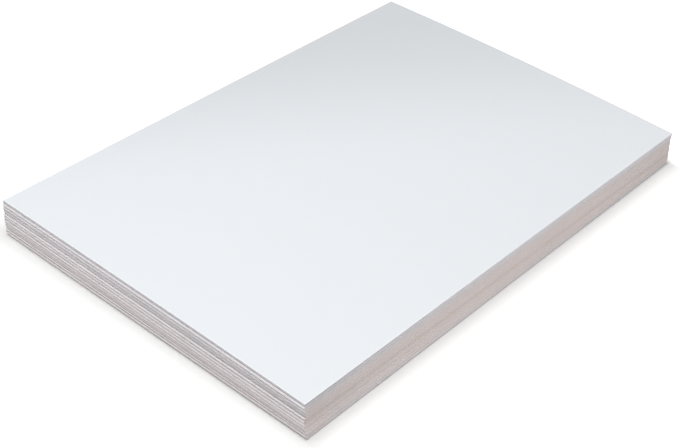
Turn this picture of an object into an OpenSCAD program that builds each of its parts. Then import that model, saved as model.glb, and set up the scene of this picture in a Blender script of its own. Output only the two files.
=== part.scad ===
// Pack of loose card sheets, knocked up into a stack that lies flat.
// Millimetres. The origin is under the middle of the pack, on the surface that it lies on.
// X runs across the sheets' short side, Y along their long side, and Z up through the pack.
// The front is the short edge at -Y, where the sheets were knocked up least evenly.
// A sheet can't stretch, so one that arches more at one end than at the other bends into part of
// a very flat cone, whose point lies past the end that arches most.

/* [Pack] */
// Number of sheets in the pack
sheet_count = 50; // [10:1:60]

/* [Sheet] */
// Short side of a sheet
sheet_w = 210; // [100:1:330]
// Long side of a sheet
sheet_l = 297; // [140:1:480]
// Thickness of a sheet
sheet_t = 0.4; // [0.2:0.05:1]

/* [Curl] */
// Height of the top sheet's arch over its corners, at the back edge
arch_h = 1.5; // [0:0.1:4]
// Distance from the back edge to the point of the cone that the sheets bend into
cone_reach = 150; // [60:10:1000]
// Air between two runs of sheets, at their corners
run_air = 0.02; // [0.02:0.01:0.1]

/* [Fan] */
// How far the runs of sheets stand out at the front, where 1 is as listed in RUNS
fan = 1; // [0:0.1:1.4]
// Reach of the bottom sheet past the top one, at the right side
foot_side = 1.2; // [0:0.1:3]
// Slip of single sheets from their place in the run
slip = 0.06; // [0:0.01:0.3]

/* [Hidden] */
// Runs of sheets that slid together, from the bottom of the pack up. Each holds its number of
// sheets, and then how far its top sheet stands out past the front of the pack's top sheet, at the
// left and right ends, and the same two for its bottom sheet.
RUNS = [
    [6, 1.95, 1.1, 1.2, 0.3],
    [3, 1.65, 0.8, 1.05, 0.2],
    [8, 1.2, 1.05, 1.05, 0.35],
    [5, 1.3, 1.1, 0.95, 0.8],
    [5, 1.15, 1.1, 0.65, 0.8],
    [4, 1.15, 0.9, 0.6, 0.7],
    [5, 0.75, 0.4, 0.35, 0.15],
    [5, 0.8, 0.5, 0.65, 0.35],
    [4, 0.6, 0.65, 0.4, 0.2],
    [1, 0.1, 0.35, 0.1, 0.35],
    [4, 0, 0, 0.05, 0],
];
// How fast the reach to the right side fades from the bottom sheet up, where 1 is evenly
foot_fade = 1.5;
// Turns in degrees between one sheet's slip and the next, which keep them from repeating
slip_step_front = 137.5;
slip_step_side = 99;
// Facets round the cone, and how far it runs on past the front corners
cone_facets = 360;
cone_margin = 10;

// Run r, starting again from the first one in a pack that outgrows the list
function run(r) = RUNS[r % len(RUNS)];
// Sheets in the runs below run r
function sheets_below(r) = r == 0 ? 0 : sheets_below(r - 1) + run(r - 1)[0];
// The run that sheet i lies in, its place in that run, and its share of the way up that run,
// where runs, sheets and places are all counted from 0
function run_of(i, r = 0) = i < sheets_below(r + 1) ? r : run_of(i, r + 1);
function place(i) = i - sheets_below(run_of(i));
function run_share(i) = place(i) / max(run(run_of(i))[0] - 1, 1);

// Height of run r's corners above the ground, at the underside of its lowest sheet
function run_z(r) = sheets_below(r) * sheet_t + r * run_air;
// Distances from the cone's point to the back and front corners of a sheet
reach_back = norm([sheet_w / 2, cone_reach]);
reach_front = norm([sheet_w / 2, cone_reach + sheet_l]);
// Slope of run r's cone, which steepens from none at the bottom run
last_run = max(run_of(sheet_count - 1), 1);
function slope(r) = arch_h / (reach_back - cone_reach) * r / last_run;
// Tilt of run r's cone that brings the sheet's four corners level, and the height of its point
// over those corners
function tilt(r) = atan(slope(r) * (reach_front - reach_back) / sheet_l);
function point_h(r) = slope(r) * reach_back * cos(tilt(r)) - cone_reach * sin(tilt(r));

// Place of the top sheet, which centres the whole pack on the origin
top_x = -foot_side / 2;
top_y = fan * (RUNS[0][1] + RUNS[0][2]) / 4;

// Stand-out of sheet i at one end of the front, where 1 is the left end and 2 the right one
function stand_out(i, end) =
    let (r = run(run_of(i)))
    fan * (r[end] * run_share(i) + r[end + 2] * (1 - run_share(i)));
function front_shift(i) =
    (stand_out(i, 1) + stand_out(i, 2)) / 2 + slip * sin(slip_step_front * i);
function side_shift(i) =
    foot_side * pow(1 - i / sheet_count, foot_fade) + slip * sin(slip_step_side * i);
function turn(i) = atan((stand_out(i, 1) - stand_out(i, 2)) / sheet_w);

function sheet_name(i) = str("sheet_", i < 9 ? "0" : "", i + 1);

// Whole cone-shaped layer of the pack that sheet i is cut from
module layer(i) {
    r = run_of(i);
    cone_r = reach_front + cone_margin;
    drop = slope(r) * cone_r;
    low = place(i) * sheet_t;
    high = low + sheet_t;
    translate([0, sheet_l / 2 + cone_reach, run_z(r) + point_h(r)])
        rotate([-tilt(r), 0, 0])
            rotate_extrude($fn = cone_facets)
                polygon([[0, low], [cone_r, low - drop], [cone_r, high - drop], [0, high]]);
}

// Cut outline of sheet i where it lies, as a column through the whole pack
module outline(i) {
    column_h = run_z(last_run + 1) + arch_h + 2 * sheet_t;
    translate([top_x + side_shift(i), top_y - front_shift(i), -sheet_t])
        rotate([0, 0, turn(i)])
            linear_extrude(column_h)
                square([sheet_w, sheet_l], center = true);
}

// Sheet i of the pack, counted from 0 at the bottom
module sheet(i) {
    color([0.93, 0.94, 0.95])
        intersection() {
            layer(i);
            outline(i);
        }
}

for (i = [0:sheet_count - 1])
    sheet(i);
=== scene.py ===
"""Pack of loose white card sheets on a pale floor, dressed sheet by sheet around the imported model.

Each sheet is modelled again with its cut edges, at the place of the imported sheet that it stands
for. Everything is in metres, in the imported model's own frame: X across the sheets' short side,
Y along their long side, Z up from the floor.
"""

import math
import random
from collections import namedtuple

import bmesh
import bpy
from mathutils import Euler, Matrix, Vector


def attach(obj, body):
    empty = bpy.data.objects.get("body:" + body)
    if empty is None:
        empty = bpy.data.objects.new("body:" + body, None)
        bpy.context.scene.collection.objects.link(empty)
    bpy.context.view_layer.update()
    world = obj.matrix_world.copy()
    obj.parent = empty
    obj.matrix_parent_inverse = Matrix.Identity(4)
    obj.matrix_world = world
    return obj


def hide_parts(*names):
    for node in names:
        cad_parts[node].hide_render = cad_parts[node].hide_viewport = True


MM = 0.001

# Form of a sheet. The cone that the sheets bend into has its point past the back edge.
CONE_REACH = 150 * MM
SHEET_WIDE = 210 * MM
SHEET_LONG = 297 * MM
SHEET_THICK = 0.4 * MM
CORNER_ROUND = 0.25 * MM
CORNER_SEGMENTS = 3
CUT_ROLL = 0.05 * MM
ROLL_SEGMENTS = 2
# Width of the mesh's cells on the top sheet and on the others
CELL_TOP = 4 * MM
CELL_INNER = 12 * MM
# Angle between two faces from which their edge is drawn sharp
SHARP_ANGLE = math.radians(12)
# How near a packed sheet's points lie to its corner to count as the corner's own
CORNER_REACH = 0.05 * MM
# Material slots of a sheet
FACE_SLOT = 0
CUT_SLOT = 1
# How squarely a cut edge's face looks to the front for it to be painted as the front
FRONT_FACING = 0.7

# Colours of the card's face, of its bare strip on a ledge, which is painted paler as a highlight,
# and of its cut edges at their coolest and warmest
FACE_COLOUR = (0.89, 0.92, 0.952)
LEDGE_HIGHLIGHT_COLOUR = (0.970, 0.950, 0.965)
EDGE_COOL = (0.734, 0.716, 0.752)
EDGE_WARM = (0.778, 0.682, 0.657)
# Finish of the face and of the cut edge
FACE_ROUGHNESS = 0.55
FACE_SPECULAR = 0.3
FACE_BUMP = 0.12
FACE_BUMP_DEPTH = 0.02 * MM
EDGE_ROUGHNESS = 0.85
EDGE_SPECULAR = 0.2
EDGE_BUMP = 0.2
EDGE_BUMP_DEPTH = 0.05 * MM
# Card's clouds and fibres: how fine they are, and how strong on the face and on the cut edge
CLOUD_SCALE = 120.0
FIBRE_SCALE = 2500.0
FACE_GRAIN = {"Cloud Amount": 0.012, "Fibre Amount": 0.02}
EDGE_GRAIN = {"Cloud Amount": 0.03, "Fibre Amount": 0.01}
# Cutting lines and patches on the cut edges: how fine they are, how they are stretched along the
# three axes to lie flat, and how strong they are
LINE_SCALE = 5000.0
LINE_STRETCH = (0.004, 0.004, 1)
PATCH_SCALE = 45.0
PATCH_STRETCH = (1, 1, 4)
CUT_MARKS = {"Line Amount": 0.22, "Patch Amount": 0.08}

# Tones of the cut edges at the front, for the runs of sheets from the top of the pack down, partly
# the sheets' own tone and partly painted shade and highlights: the sheets in the run, the tone at
# the left and right ends of the front, and that of its top sheet against the rest, a painted
# highlight above 1 and a painted shade below, of which the next sheet takes half
FRONT_RUN_TONES_AND_SHADE = (
    (4, 0.95, 0.86, 0.85),
    (1, 1.01, 1.09, 1.10),
    (4, 0.99, 0.91, 1.12),
    (5, 0.96, 0.95, 1.06),
    (5, 1.06, 0.77, 1.06),
    (4, 1.23, 0.88, 1.10),
    (5, 1.07, 1.10, 1.10),
    (5, 1.06, 1.06, 1.10),
    (8, 0.95, 0.96, 1.10),
    (3, 0.76, 0.86, 0.90),
    (6, 1.07, 0.93, 1.08),
)
# Painted shade: tones of a run's lowest sheet and of the next one up, which lie in the groove over
# a ledge
GROOVE_SHADE_TONES = (0.80, 0.91)
# Warmth of the cut edges at the top and foot of the front, where 0 is cool grey and 1 the warm
# grey of the sides
FRONT_WARMTH_TOP = 0.1
FRONT_WARMTH_FOOT = 0.75
# Strip along the front of each lower sheet's face, which stands bare on a ledge and takes the
# painted highlight
LEDGE_HIGHLIGHT_WIDTH = 8 * MM
# Tone of the cut edges at the sides, and how much they darken towards both ends and over what
# length
SIDE_TONE = 1.065
END_FADE = 40 * MM
FRONT_END_DEPTH = 0.17
BACK_END_DEPTH = 0.10
# Painted shade: a dark seam along the sides, where the pack's two lifts of sheets meet
SEAM_FRONT_Z = 10.1 * MM
SEAM_BACK_Z = 7.1 * MM
SEAM_WIDTH = 1.1 * MM
SEAM_SHADE_DEPTH = 0.11
# Paler strip down from the top of the sides, and how much paler it is at the front and back ends
STRIP_DEPTH = 1.8 * MM
STRIP_FRONT = 0.02
STRIP_BACK = 0.17
# Cooler strips down from the top of the sides and up from their foot, which cools by a share
COOL_DEPTH = 4.5 * MM
COOL_FOOT = 3 * MM
COOL_FOOT_SHARE = 0.6
# How many of the highest and lowest sheets are darker at the sides, in painted shade, and their
# tones. The highest are darkest at the front end, and fade out along this share of the side.
SHADED_SHEETS = 2
SIDE_TOP_SHADE = 0.67
SIDE_TOP_REACH = 0.6
SIDE_FOOT_SHADE = 0.78
# Own tone of each sheet's cut edges, up or down, and the seed that it is drawn from
OWN_TONE = 0.02
OWN_TONE_SEED = 7
# Painted highlight: a pale rim round the top sheet
RIM_HIGHLIGHT_WIDTH = 0.7 * MM
RIM_HIGHLIGHT_TONE = 1.06

# Camera, as a lens on a sensor as wide as the picture, and where it stands over the pack
PICTURE_W = 680
SENSOR_W = 36
FOCAL_PX = 1440
LENS_CENTRE_X = 420
CAMERA_TARGET = Vector((0.0569, -0.0145, 0.020))
CAMERA_DISTANCE = 0.7288
CAMERA_AZIMUTH = -52.33
CAMERA_ELEVATION = 37.43
CAMERA_ROLL = 4.23

# Lamps, and the level of the light from all round
OVERHEAD = {"place": (-0.2, -0.1, 1.9), "aim": (0, 0, 0), "size": 1.0, "power": 12.9}
FILL = {"place": (1.3, 0.1, 0.30), "aim": (0.1, 0, 0.01), "size": 0.6, "power": 1.9,
        "colour": (1, 0.92, 0.85)}
KEY = {"place": (0.06, -0.36, 0.70), "aim": (0.60, -0.58, 0), "angle": 138, "blend": 0.25,
       "radius": 0.02, "power": 4.95}
WORLD_LEVEL = 0.375

# Floor, which reaches this far from the pack to every side
FLOOR_REACH = 6.0
FLOOR_COLOUR = (0.93, 0.94, 0.935, 1)
# Glow of the floor that the camera alone sees: its level beside the pack, what that level gains
# along the pack to its back end, by a power of the way there, and before the front edge to its
# right end, and its level away from the pack
GLOW_NEAR = 0.02
GLOW_NEAR_BACK = 0.08
GLOW_BACK_CURVE = 3.0
GLOW_NEAR_FRONT = 0.05
GLOW_FAR = 1.0
# Distances from the pack at which the glow starts to grow and is full. A distance behind the pack
# counts for more. The gain before the front edge comes in over a short distance.
GLOW_START = 1.5 * MM
GLOW_FULL = 36 * MM
GLOW_BEHIND_FACTOR = 4.0
GLOW_FRONT_RISE = 2 * MM

# Form of a packed sheet: its sides, the move that puts a flat one in its place, and the height of
# the arch over its corners at the middle of a sheet's back edge
Form = namedtuple("Form", "width length place arch")
# Place of a sheet in the pack, and its tones: its number from the top and from the foot, both
# from 0, its height, its depth under the top and its height as a share of the pack's, the tones
# of its front edge at the left and right ends, which carry painted shade and highlights, and its
# own tone
Layer = namedtuple("Layer", "from_top from_foot height depth rise front own")


def new_material(name):
    """A new material, with its empty node tree and the output in it."""
    mat = bpy.data.materials.new(name)
    mat.use_nodes = True
    tree = mat.node_tree
    tree.nodes.clear()
    return mat, tree, tree.nodes.new("ShaderNodeOutputMaterial")


def card_material(name, roughness, specular):
    """A new material with a Principled shader of one finish, its node tree and that shader."""
    mat, tree, out = new_material(name)
    shader = tree.nodes.new("ShaderNodeBsdfPrincipled")
    shader.inputs["Roughness"].default_value = roughness
    shader.inputs["Specular IOR Level"].default_value = specular
    tree.links.new(shader.outputs["BSDF"], out.inputs["Surface"])
    return mat, tree, shader


def math_node(tree, operation, a, b=None):
    """The output of a math node whose inputs are sockets or numbers."""
    node = tree.nodes.new("ShaderNodeMath")
    node.operation = operation
    for socket, value in zip(node.inputs, (a, b)):
        if value is None:
            continue
        if isinstance(value, bpy.types.NodeSocket):
            tree.links.new(value, socket)
        else:
            socket.default_value = value
    return node.outputs[0]


def share_of(tree, value, whole, start=0.0):
    """How far a value has come along a whole, from a share at 0, kept between 0 and 1."""
    share = math_node(tree, "ADD", math_node(tree, "DIVIDE", value, whole), start)
    return math_node(tree, "MINIMUM", math_node(tree, "MAXIMUM", share, 0.0), 1.0)


def object_noise(tree, scale, stretch=(1, 1, 1), detail=2.0, roughness=0.5):
    """Noise over the piece's own coordinates, which are scaled first along each axis."""
    coord = tree.nodes.new("ShaderNodeTexCoord")
    mapping = tree.nodes.new("ShaderNodeMapping")
    mapping.inputs["Scale"].default_value = stretch
    noise = tree.nodes.new("ShaderNodeTexNoise")
    noise.inputs["Scale"].default_value = scale
    noise.inputs["Detail"].default_value = detail
    noise.inputs["Roughness"].default_value = roughness
    tree.links.new(coord.outputs["Object"], mapping.inputs["Vector"])
    tree.links.new(mapping.outputs["Vector"], noise.inputs["Vector"])
    return noise.outputs["Fac"]


def new_group(name, amounts):
    """A shader node group with an input for each amount, and a tone and a height as outputs."""
    group = bpy.data.node_groups.new(name, "ShaderNodeTree")
    for label in amounts:
        group.interface.new_socket(label, in_out="INPUT", socket_type="NodeSocketFloat")
    for label in ("Tone", "Height"):
        group.interface.new_socket(label, in_out="OUTPUT", socket_type="NodeSocketFloat")
    return group, group.nodes.new("NodeGroupInput"), group.nodes.new("NodeGroupOutput")


def tone_of(tree, given, noises):
    """A tone around 1 that swings with each noise by the amount that is given under its label."""
    parts = []
    for label, noise in noises.items():
        swing = math_node(tree, "SUBTRACT", noise, 0.5)
        parts.append(math_node(tree, "MULTIPLY", swing, given.outputs[label]))
    return math_node(tree, "ADD", math_node(tree, "ADD", *parts), 1.0)


def paper_formation_group():
    """Cloudy formation and fine fibres of card: a tone around 1, and a height for the bump."""
    group, given, out = new_group("paper_formation", FACE_GRAIN)
    cloud = object_noise(group, CLOUD_SCALE)
    fibre = object_noise(group, FIBRE_SCALE, detail=3.0, roughness=0.6)
    tone = tone_of(group, given, {"Cloud Amount": cloud, "Fibre Amount": fibre})
    group.links.new(tone, out.inputs["Tone"])
    group.links.new(fibre, out.inputs["Height"])
    return group


def cut_streaks_group():
    """Marks that the guillotine leaves along the cut edges: lines that lie flat, in two sizes."""
    group, given, out = new_group("cut_streaks", CUT_MARKS)
    lines = object_noise(group, LINE_SCALE, LINE_STRETCH)
    patches = object_noise(group, PATCH_SCALE, PATCH_STRETCH)
    tone = tone_of(group, given, {"Line Amount": lines, "Patch Amount": patches})
    group.links.new(tone, out.inputs["Tone"])
    group.links.new(lines, out.inputs["Height"])
    return group


def place_group(tree, group, values):
    """The group placed in a material, with its own values."""
    node = tree.nodes.new("ShaderNodeGroup")
    node.node_tree = group
    for label, value in values.items():
        node.inputs[label].default_value = value
    return node


def painted_value(tree, layer):
    """The value that is painted on each face in a layer of the mesh."""
    painted = tree.nodes.new("ShaderNodeAttribute")
    painted.attribute_name = layer
    return painted.outputs["Fac"]


def colour_into(tree, shader, cool, warm, tone):
    """The colour between a cool and a warm one, by the painted warmth and tone, which carry
    painted shade and highlights, as the base colour.
    """
    mix = tree.nodes.new("ShaderNodeMix")
    mix.data_type = "RGBA"
    mix.inputs["A"].default_value = (*cool, 1.0)
    mix.inputs["B"].default_value = (*warm, 1.0)
    tree.links.new(painted_value(tree, "sheet_warmth_and_highlight"), mix.inputs["Factor"])
    shade = tree.nodes.new("ShaderNodeVectorMath")
    shade.operation = "SCALE"
    tree.links.new(mix.outputs["Result"], shade.inputs[0])
    tone = math_node(tree, "MULTIPLY", tone, painted_value(tree, "sheet_tone"))
    tree.links.new(tone, shade.inputs["Scale"])
    tree.links.new(shade.outputs[0], shader.inputs["Base Color"])


def bump_into(tree, shader, height, strength, distance):
    """Bump from a height, fed to the shader's normal."""
    bump = tree.nodes.new("ShaderNodeBump")
    bump.inputs["Strength"].default_value = strength
    bump.inputs["Distance"].default_value = distance
    tree.links.new(height, bump.inputs["Height"])
    tree.links.new(bump.outputs["Normal"], shader.inputs["Normal"])


def card_face_material(formation):
    """Smooth white card, faintly blue, with a little formation and a dull sheen, and painted
    highlights on the top sheet's rim and on the ledge strips.
    """
    mat, tree, shader = card_material("card_face", FACE_ROUGHNESS, FACE_SPECULAR)
    paper = place_group(tree, formation, FACE_GRAIN)
    colour_into(tree, shader, FACE_COLOUR, LEDGE_HIGHLIGHT_COLOUR, paper.outputs["Tone"])
    bump_into(tree, shader, paper.outputs["Height"], FACE_BUMP, FACE_BUMP_DEPTH)
    return mat


def cut_edge_material(formation, streaks):
    """Cut edge of the card: grey core, with a tone and a warmth painted on each face, which carry
    painted shade and highlights.
    """
    mat, tree, shader = card_material("card_cut_edge", EDGE_ROUGHNESS, EDGE_SPECULAR)
    cut = place_group(tree, streaks, CUT_MARKS)
    paper = place_group(tree, formation, EDGE_GRAIN)
    tone = math_node(tree, "MULTIPLY", cut.outputs["Tone"], paper.outputs["Tone"])
    colour_into(tree, shader, EDGE_COOL, EDGE_WARM, tone)
    bump_into(tree, shader, cut.outputs["Height"], EDGE_BUMP, EDGE_BUMP_DEPTH)
    return mat


def arch_share(x, y, half_w):
    """Height of the arch at a point, where 1 is the middle of the back edge and 0 a corner."""
    back = math.hypot(half_w, CONE_REACH)
    front = math.hypot(half_w, CONE_REACH + SHEET_LONG)
    rise = (front - back) / SHEET_LONG
    to_point = SHEET_LONG / 2 + CONE_REACH - y
    height = back - math.hypot(x, to_point) + (to_point - CONE_REACH) * rise
    return height / (back - CONE_REACH)


def corners_of(node):
    """The four lower corners of a packed sheet: left front, right front, right back, left back."""
    points = [v.co for v in node.data.vertices]
    low = []
    for sx, sy in ((-1, -1), (1, -1), (1, 1), (-1, 1)):
        reach = max(sx * p.x + sy * p.y for p in points)
        at_corner = [p for p in points if sx * p.x + sy * p.y > reach - CORNER_REACH]
        low.append(min(at_corner, key=lambda p: p.z).copy())
    return low


def form_of(node):
    """The form of a packed sheet, measured on its own mesh."""
    corners = corners_of(node)
    across = corners[1] - corners[0]
    width = across.length
    length = (corners[3] - corners[0]).length
    centre = sum(corners, Vector()) / 4
    turn = Matrix.Rotation(math.atan2(across.y, across.x), 4, "Z")
    top = max(v.co.z for v in node.data.vertices)
    crest = arch_share(0, centre.y + length / 2, width / 2)
    arch = max(top - SHEET_THICK - centre.z, 0.0) / crest
    return Form(width, length, Matrix.Translation(centre) @ turn, arch)


def front_tones_and_shade():
    """Tone of each sheet's front edge at its left and right ends, from the top sheet down, with
    painted shade in the grooves and painted highlights on the ledges.
    """
    tones = []
    for count, left, right, crest in FRONT_RUN_TONES_AND_SHADE:
        # The top sheet's painted tone, a highlight above 1 and a shade below, half of it on the next
        # sheet
        factors = [crest, (1.0 + crest) / 2] + [1.0] * (count - 2)
        # Painted shade on a run's lowest sheets, which lie in the groove over a ledge
        for step, groove in enumerate(GROOVE_SHADE_TONES[:count - 1]):
            factors[count - 1 - step] *= groove
        tones += [(left * factor, right * factor) for factor in factors[:count]]
    return tones


def side_tone_and_shade(share, layer):
    """Tone of the cut edges at the sides and back, with painted shade along the seam and on the
    highest and lowest sheets: share is 0 at the front and 1 at the back.
    """
    # Painted shade along the seam
    seam_z = SEAM_FRONT_Z + (SEAM_BACK_Z - SEAM_FRONT_Z) * share
    tone = SIDE_TONE * (1.0 - SEAM_SHADE_DEPTH * math.exp(-((layer.height - seam_z) / SEAM_WIDTH) ** 2))
    tone *= 1.0 - FRONT_END_DEPTH * math.exp(-share * SHEET_LONG / END_FADE)
    tone *= 1.0 - BACK_END_DEPTH * math.exp(-(1 - share) * SHEET_LONG / END_FADE)
    strip = math.exp(-(layer.depth / STRIP_DEPTH) ** 2)
    tone *= 1.0 + strip * (STRIP_FRONT + (STRIP_BACK - STRIP_FRONT) * share)
    # Painted shade on the highest sheets' cut edges, darkest at the front end, and on the lowest
    # sheets'
    if layer.from_top < SHADED_SHEETS:
        fade = min(share / SIDE_TOP_REACH, 1.0)
        tone *= SIDE_TOP_SHADE + (1.0 - SIDE_TOP_SHADE) * fade
    if layer.from_foot < SHADED_SHEETS:
        tone *= SIDE_FOOT_SHADE
    return tone


def face_paint(centre, width, length, layer):
    """Tone and warmth of one of the mesh's faces on the sheet's face, by the place of its centre:
    a painted highlight on the top sheet's rim and on the lower sheets' ledge strips.
    """
    half_w, half_l = width / 2, length / 2
    if layer.from_top == 0:
        # Painted highlight: a paler rim round the top sheet's face
        near_rim = half_w - abs(centre.x) < RIM_HIGHLIGHT_WIDTH or half_l - abs(centre.y) < RIM_HIGHLIGHT_WIDTH
        return (RIM_HIGHLIGHT_TONE if near_rim else 1.0), 0.0
    # Painted highlight: a lower sheet's strip that stands bare on a ledge takes the paler ledge colour
    on_ledge = half_l + centre.y < LEDGE_HIGHLIGHT_WIDTH
    return 1.0, (1.0 if on_ledge else 0.0)


def front_paint(across, layer):
    """Tone and warmth of the front's cut edge, where the tone carries painted shade and highlights:
    across is 0 at the left end and 1 at the right.
    """
    tone = layer.own * (layer.front[0] * (1 - across) + layer.front[1] * across)
    warmth = FRONT_WARMTH_FOOT + (FRONT_WARMTH_TOP - FRONT_WARMTH_FOOT) * layer.rise
    return tone, warmth


def side_paint(share, layer):
    """Tone, which carries painted shade, and warmth of the other cut edges: share is 0 at the front
    and 1 at the back.
    """
    cool = math.exp(-(layer.depth / COOL_DEPTH) ** 2)
    cool += COOL_FOOT_SHARE * math.exp(-(layer.height / COOL_FOOT) ** 2)
    return layer.own * side_tone_and_shade(share, layer), 1.0 - cool


def paint_sheet(bm, form, layer):
    """Write each face's tone and warmth, which carry painted shade and highlights, while the sheet
    still lies flat round its own centre.
    """
    tones = bm.faces.layers.float.new("sheet_tone")
    warmths = bm.faces.layers.float.new("sheet_warmth_and_highlight")
    for face in bm.faces:
        centre = face.calc_center_median()
        if face.material_index == FACE_SLOT:
            tone, warmth = face_paint(centre, form.width, form.length, layer)
        elif face.normal.y < -FRONT_FACING:
            tone, warmth = front_paint(centre.x / form.width + 0.5, layer)
        else:
            tone, warmth = side_paint(centre.y / form.length + 0.5, layer)
        face[tones] = tone
        face[warmths] = warmth


def bevel(bm, edges, offset, segments):
    """Round off edges."""
    bmesh.ops.bevel(bm, geom=edges, offset=offset, segments=segments, profile=0.5,
                    affect="EDGES", material=-1)
    bm.normal_update()


def is_corner(edge, width, length):
    """Whether an edge is one of the four that stand upright at a flat sheet's corners."""
    ends = [v.co for v in edge.verts]
    if abs(ends[0].z - ends[1].z) < SHEET_THICK / 2:
        return False
    return all(abs(p.x) > width / 2 - MM and abs(p.y) > length / 2 - MM for p in ends)


def is_cut(face):
    """Whether a face of a flat sheet is part of its cut edges."""
    return abs(face.normal.z) < 0.5


def flat_sheet(width, length, is_top):
    """A sheet that lies flat round its own centre, with rounded corners and rolled cut edges."""
    cell = CELL_TOP if is_top else CELL_INNER
    bm = bmesh.new()
    bmesh.ops.create_grid(bm, x_segments=round(width / cell), y_segments=round(length / cell),
                          size=0.5)
    bmesh.ops.scale(bm, vec=(width, length, 1), verts=bm.verts)
    if is_top:
        # A rim round the top sheet's face, which takes the painted highlight
        bmesh.ops.inset_region(bm, faces=bm.faces[:], thickness=RIM_HIGHLIGHT_WIDTH, use_even_offset=True,
                               use_boundary=True)
    lifted = bmesh.ops.extrude_face_region(bm, geom=bm.faces[:], use_keep_orig=True)
    lifted_verts = [g for g in lifted["geom"] if isinstance(g, bmesh.types.BMVert)]
    bmesh.ops.translate(bm, vec=(0, 0, SHEET_THICK), verts=lifted_verts)
    bmesh.ops.recalc_face_normals(bm, faces=bm.faces)

    bevel(bm, [e for e in bm.edges if is_corner(e, width, length)], CORNER_ROUND, CORNER_SEGMENTS)
    for face in bm.faces:
        face.material_index = CUT_SLOT if is_cut(face) else FACE_SLOT
    rims = [e for e in bm.edges
            if len(e.link_faces) == 2 and sum(is_cut(f) for f in e.link_faces) == 1]
    bevel(bm, rims, CUT_ROLL, ROLL_SEGMENTS)
    return bm


def lay_in_place(bm, form):
    """Move a flat sheet to its place in the pack and bend it to its arch."""
    bmesh.ops.transform(bm, matrix=form.place, verts=bm.verts)
    for v in bm.verts:
        v.co.z += form.arch * max(arch_share(v.co.x, v.co.y, form.width / 2), 0.0)
    bm.normal_update()


def shade_smooth(bm):
    """Shade a sheet smooth, but for the edges between faces that meet at a sharp angle."""
    for face in bm.faces:
        face.smooth = True
    for edge in bm.edges:
        edge.smooth = len(edge.link_faces) == 2 and edge.calc_face_angle(0.0) < SHARP_ANGLE


def object_from(bm, name, materials):
    """A new object of the scene from a mesh that is being edited, which this ends."""
    mesh = bpy.data.meshes.new(name)
    bm.to_mesh(mesh)
    bm.free()
    for mat in materials:
        mesh.materials.append(mat)
    piece = bpy.data.objects.new(name, mesh)
    bpy.context.scene.collection.objects.link(piece)
    return piece


def build_sheet(name, form, layer, materials):
    """A sheet of card in the form and place of a packed one, painted by where it lies."""
    bm = flat_sheet(form.width, form.length, layer.from_top == 0)
    paint_sheet(bm, form, layer)
    lay_in_place(bm, form)
    shade_smooth(bm)
    return object_from(bm, name, materials)


def build_pack(frame, materials):
    """Every sheet of the pack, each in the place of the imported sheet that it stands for."""
    draw = random.Random(OWN_TONE_SEED)
    names = sorted(frame["nodes"], reverse=True)
    pack_h = len(names) * SHEET_THICK
    for index, (name, front) in enumerate(zip(names, front_tones_and_shade())):
        form = form_of(frame["nodes"][name])
        height = form.place.translation.z
        own = 1.0 + draw.uniform(-OWN_TONE, OWN_TONE)
        layer = Layer(index, len(names) - 1 - index, height, pack_h - height, height / pack_h,
                      front, own)
        sheet = build_sheet("card_" + name, form, layer, materials)
        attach(sheet, "root")
        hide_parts(name)


def distances_past(tree, place):
    """Distances of a place on the floor past the pack's sides, and past its front and back ends."""
    turned = math_node(tree, "MULTIPLY", place.outputs["Y"], -1.0)
    beside = math_node(tree, "SUBTRACT", math_node(tree, "ABSOLUTE", place.outputs["X"]),
                       SHEET_WIDE / 2)
    before = math_node(tree, "SUBTRACT", turned, SHEET_LONG / 2)
    behind = math_node(tree, "SUBTRACT", place.outputs["Y"], SHEET_LONG / 2)
    return beside, before, behind


def distance_away(tree, beside, before, behind):
    """Distance from the pack, where one behind it counts for more."""
    behind = math_node(tree, "MULTIPLY", behind, GLOW_BEHIND_FACTOR)
    squares = []
    for past in (beside, math_node(tree, "MAXIMUM", behind, before)):
        squares.append(math_node(tree, "POWER", math_node(tree, "MAXIMUM", past, 0.0), 2.0))
    return math_node(tree, "SQRT", math_node(tree, "ADD", *squares))


def near_glow(tree, place, before):
    """Level of the floor's glow beside the pack."""
    along = share_of(tree, place.outputs["Y"], SHEET_LONG, 0.5)
    across = share_of(tree, place.outputs["X"], SHEET_WIDE, 0.5)
    ahead = math_node(tree, "MULTIPLY", across, share_of(tree, before, GLOW_FRONT_RISE))
    to_back = math_node(tree, "POWER", along, GLOW_BACK_CURVE)
    gain = math_node(tree, "ADD", math_node(tree, "MULTIPLY", to_back, GLOW_NEAR_BACK),
                     math_node(tree, "MULTIPLY", ahead, GLOW_NEAR_FRONT))
    return math_node(tree, "ADD", gain, GLOW_NEAR)


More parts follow.
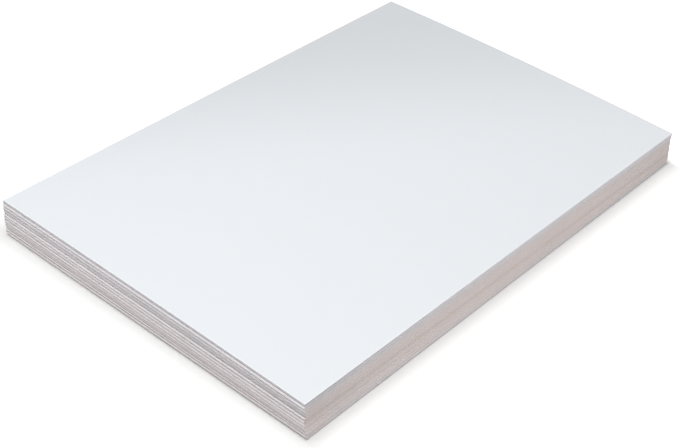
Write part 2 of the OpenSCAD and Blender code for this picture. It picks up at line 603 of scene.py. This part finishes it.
def floor_material():
    """Matt white floor that glows to the camera alone, faintly by the pack and white away from it."""
    mat, tree, out = new_material("studio_floor")
    matt = tree.nodes.new("ShaderNodeBsdfDiffuse")
    matt.inputs["Color"].default_value = FLOOR_COLOUR

    coord = tree.nodes.new("ShaderNodeTexCoord")
    place = tree.nodes.new("ShaderNodeSeparateXYZ")
    tree.links.new(coord.outputs["Object"], place.inputs["Vector"])
    beside, before, behind = distances_past(tree, place)
    ramp = tree.nodes.new("ShaderNodeMapRange")
    ramp.interpolation_type = "SMOOTHSTEP"
    ramp.inputs["From Min"].default_value = GLOW_START
    ramp.inputs["From Max"].default_value = GLOW_FULL
    ramp.inputs["To Max"].default_value = GLOW_FAR
    tree.links.new(distance_away(tree, beside, before, behind), ramp.inputs["Value"])
    tree.links.new(near_glow(tree, place, before), ramp.inputs["To Min"])

    glow = tree.nodes.new("ShaderNodeEmission")
    glow.inputs["Color"].default_value = (1, 1, 1, 1)
    path = tree.nodes.new("ShaderNodeLightPath")
    tree.links.new(math_node(tree, "MULTIPLY", path.outputs["Is Camera Ray"], ramp.outputs["Result"]),
                   glow.inputs["Strength"])
    both = tree.nodes.new("ShaderNodeAddShader")
    tree.links.new(matt.outputs["BSDF"], both.inputs[0])
    tree.links.new(glow.outputs["Emission"], both.inputs[1])
    tree.links.new(both.outputs["Shader"], out.inputs["Surface"])
    return mat


def build_floor():
    """A wide flat floor under the pack."""
    bm = bmesh.new()
    bmesh.ops.create_grid(bm, x_segments=1, y_segments=1, size=FLOOR_REACH)
    floor = object_from(bm, "studio_floor", [floor_material()])


def build_world():
    """Even studio light from all round, which the camera and clear reflections see as white."""
    world = bpy.data.worlds.new("studio")
    bpy.context.scene.world = world
    world.use_nodes = True
    tree = world.node_tree
    tree.nodes.clear()
    out = tree.nodes.new("ShaderNodeOutputWorld")
    back = tree.nodes.new("ShaderNodeBackground")
    back.inputs["Color"].default_value = (1, 1, 1, 1)
    path = tree.nodes.new("ShaderNodeLightPath")
    seen = WORLD_LEVEL
    for ray in ("Is Camera Ray", "Is Glossy Ray", "Is Transmission Ray"):
        seen = math_node(tree, "MAXIMUM", path.outputs[ray], seen)
    tree.links.new(seen, back.inputs["Strength"])
    tree.links.new(back.outputs["Background"], out.inputs["Surface"])


def hang_lamp(name, data, place, aim, power, colour=(1, 1, 1)):
    """Hang a lamp at a place, facing a point. The camera doesn't see the lamp itself."""
    data.energy = power
    data.color = colour
    lamp = bpy.data.objects.new(name, data)
    lamp.location = place
    lamp.rotation_euler = (Vector(aim) - Vector(place)).to_track_quat("-Z", "Y").to_euler()
    lamp.visible_camera = False
    bpy.context.scene.collection.objects.link(lamp)


def area_lamp(name, size, **hung):
    """A square soft box."""
    data = bpy.data.lights.new(name, "AREA")
    data.shape = "SQUARE"
    data.size = size
    hang_lamp(name, data, **hung)


def spot_lamp(name, angle, blend, radius, **hung):
    """A spot with a soft rim, where the angle is in degrees."""
    data = bpy.data.lights.new(name, "SPOT")
    data.spot_size = math.radians(angle)
    data.spot_blend = blend
    data.shadow_soft_size = radius
    hang_lamp(name, data, **hung)


def build_camera():
    """The camera at the photograph's angle, turned a little about its own line of sight."""
    azimuth, elevation = math.radians(CAMERA_AZIMUTH), math.radians(CAMERA_ELEVATION)
    back = Vector((math.cos(azimuth) * math.cos(elevation),
                   math.sin(azimuth) * math.cos(elevation), math.sin(elevation)))
    data = bpy.data.cameras.new("photo_camera")
    data.sensor_width = SENSOR_W
    data.lens = FOCAL_PX / PICTURE_W * SENSOR_W
    data.shift_x = (PICTURE_W / 2 - LENS_CENTRE_X) / PICTURE_W
    camera = bpy.data.objects.new("photo_camera", data)
    camera.location = CAMERA_TARGET + back * CAMERA_DISTANCE
    aim = (-back).to_track_quat("-Z", "Y").to_matrix()
    camera.rotation_euler = (aim @ Euler((0, 0, math.radians(CAMERA_ROLL))).to_matrix()).to_euler()
    bpy.context.scene.collection.objects.link(camera)
    bpy.context.scene.camera = camera


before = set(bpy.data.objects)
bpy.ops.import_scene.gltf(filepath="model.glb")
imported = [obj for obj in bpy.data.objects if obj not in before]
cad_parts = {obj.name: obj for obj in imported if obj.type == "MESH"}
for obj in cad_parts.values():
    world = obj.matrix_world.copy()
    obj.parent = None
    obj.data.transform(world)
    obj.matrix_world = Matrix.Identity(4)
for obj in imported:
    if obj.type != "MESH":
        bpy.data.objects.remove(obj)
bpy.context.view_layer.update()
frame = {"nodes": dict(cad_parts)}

formation = paper_formation_group()
streaks = cut_streaks_group()
build_pack(frame, [card_face_material(formation), cut_edge_material(formation, streaks)])

build_floor()
build_world()
area_lamp("overhead", **OVERHEAD)
area_lamp("fill", **FILL)
spot_lamp("key", **KEY)
build_camera()
bpy.context.scene.view_settings.view_transform = "Standard"
